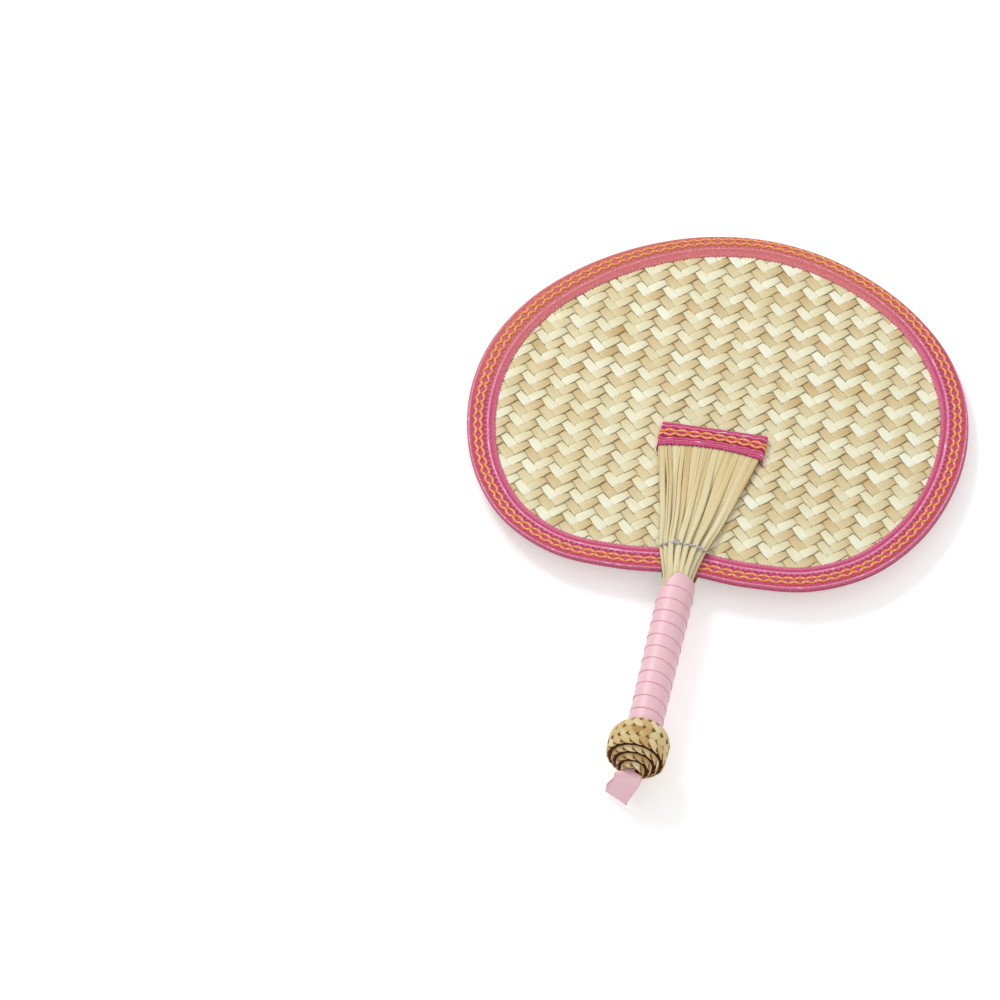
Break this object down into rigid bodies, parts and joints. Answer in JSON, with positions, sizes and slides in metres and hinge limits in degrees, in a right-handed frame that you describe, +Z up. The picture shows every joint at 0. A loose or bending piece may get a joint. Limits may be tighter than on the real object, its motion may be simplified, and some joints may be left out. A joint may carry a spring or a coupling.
{
  "type": "hand fan",
  "caption": "Oval woven straw hand fan with a patterned ribbon rim, split straw stem handle wound in satin ribbon, rolled plait pommel and a hinged hanging loop",
  "frame": {"origin": "bottom centre of the bounding box, at table level, with the fan lying on its back", "axes": "+X across the panel, +Y from the handle to the far edge, +Z up, out of the front face; the fan slopes 2.6 degrees down to its far edge because the pommel props up the handle"},
  "size_m": [0.25, 0.353, 0.0319],
  "materials": {
    "woven_straw": "satin split straw, pale and tan strands in a twill weave",
    "straw_stem": "satin whole straw stems",
    "plaited_straw": "satin flat straw plait",
    "patterned_ribbon": "woven ribbon with crossing orange waves on deep pink",
    "satin_ribbon": "pale pink satin",
    "grey_thread": "twisted grey thread"
  },
  "bodies": {
    "fan": {"woven_panel": "woven_straw", "rim_trim_front": "patterned_ribbon", "rim_trim_back": "patterned_ribbon", "tip_trim_front": "patterned_ribbon", "tip_trim_back": "patterned_ribbon", "front_stem_01": "straw_stem", "front_stem_02": "straw_stem", "front_stem_03": "straw_stem", "front_stem_04": "straw_stem", "front_stem_05": "straw_stem", "front_stem_06": "straw_stem", "front_stem_07": "straw_stem", "front_stem_08": "straw_stem", "front_stem_09": "straw_stem", "front_stem_10": "straw_stem", "front_stem_11": "straw_stem", "front_stem_12": "straw_stem", "front_stem_13": "straw_stem", "front_stem_14": "straw_stem", "front_stem_15": "straw_stem", "back_stem_01": "straw_stem", "back_stem_02": "straw_stem", "back_stem_03": "straw_stem", "back_stem_04": "straw_stem", "back_stem_05": "straw_stem", "back_stem_06": "straw_stem", "back_stem_07": "straw_stem", "back_stem_08": "straw_stem", "back_stem_09": "straw_stem", "back_stem_10": "straw_stem", "back_stem_11": "straw_stem", "back_stem_12": "straw_stem", "back_stem_13": "straw_stem", "back_stem_14": "straw_stem", "back_stem_15": "straw_stem", "neck_thread": "grey_thread", "handle_ribbon": "satin_ribbon", "pommel_plait": "plaited_straw", "loop_tail": "satin_ribbon"},
    "loop": {"hang_loop": "satin_ribbon"}
  },
  "joints": [
    {"name": "loop_swing", "type": "hinge", "parent": "fan", "child": "loop", "pos_m": [-0.003, -0.16954, 0.01776], "axis": [-1, 0, 0], "range_deg": [0, 135]}
  ]
}
